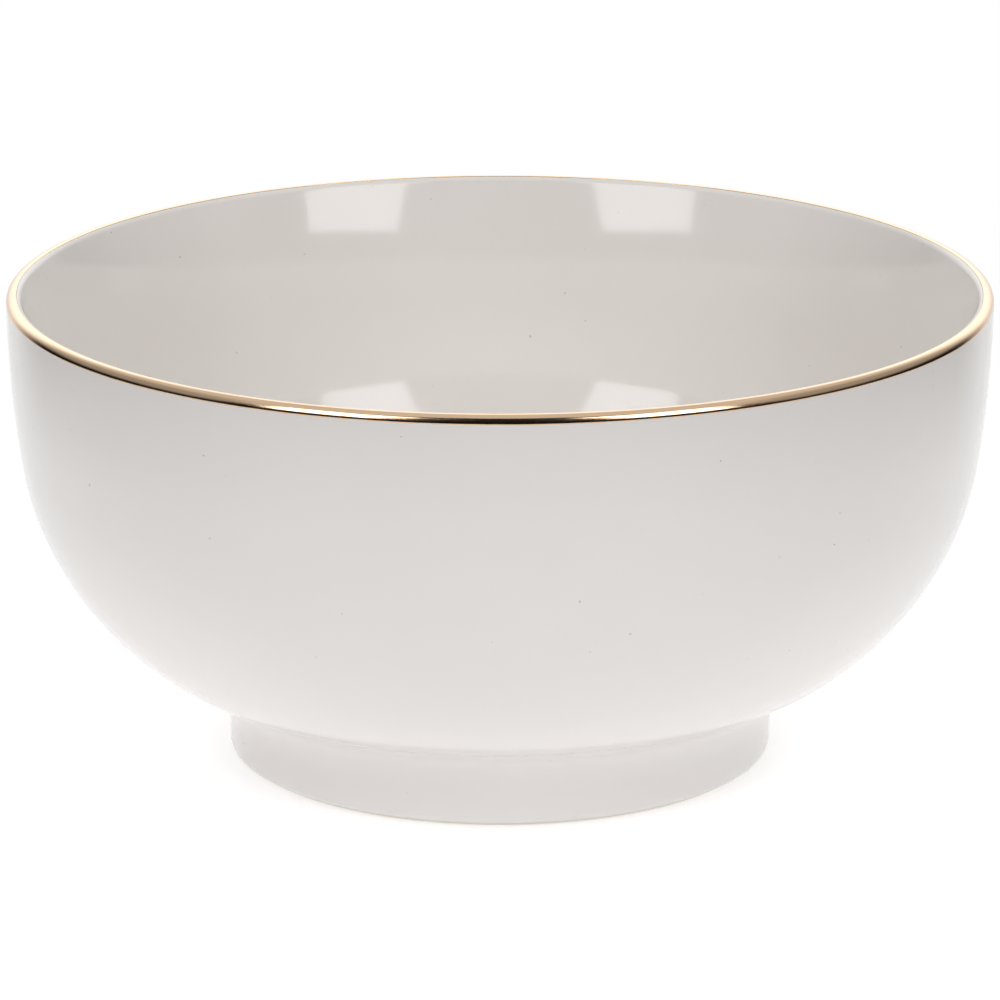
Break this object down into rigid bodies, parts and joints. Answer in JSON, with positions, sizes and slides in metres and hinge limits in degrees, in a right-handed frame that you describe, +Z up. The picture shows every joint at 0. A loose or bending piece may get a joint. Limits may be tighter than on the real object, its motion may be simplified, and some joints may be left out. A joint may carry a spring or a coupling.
{
  "type": "serving bowl",
  "caption": "Round porcelain serving bowl with a deep rounded body, a nearly upright wall that thins to the lip, a low flared foot ring and a thin gold line over the lip.",
  "frame": {"origin": "centre of the circle on which the foot's standing edge rests, at table height", "axes": "+Z up along the bowl's axis of revolution; X and Y are any two level directions, because the bowl is round"},
  "size_m": [0.21, 0.21, 0.102],
  "materials": {
    "bisque_body": "matte fired porcelain under the glaze",
    "bisque_foot": "matte fired porcelain, bare and polished on the standing edge",
    "joint_slip": "matte fired slip",
    "outer_glaze": "glossy warm white glaze",
    "inner_glaze": "glossy warm white glaze",
    "recess_glaze": "glossy warm white glaze",
    "rim_gold": "polished gold lustre"
  },
  "bodies": {
    "root": {"bowl_body": "bisque_body", "foot_ring": "bisque_foot", "foot_slip_joint": "joint_slip", "outer_glaze": "outer_glaze", "inner_glaze": "inner_glaze", "recess_glaze": "recess_glaze", "rim_gold_band": "rim_gold"}
  },
  "joints": []
}
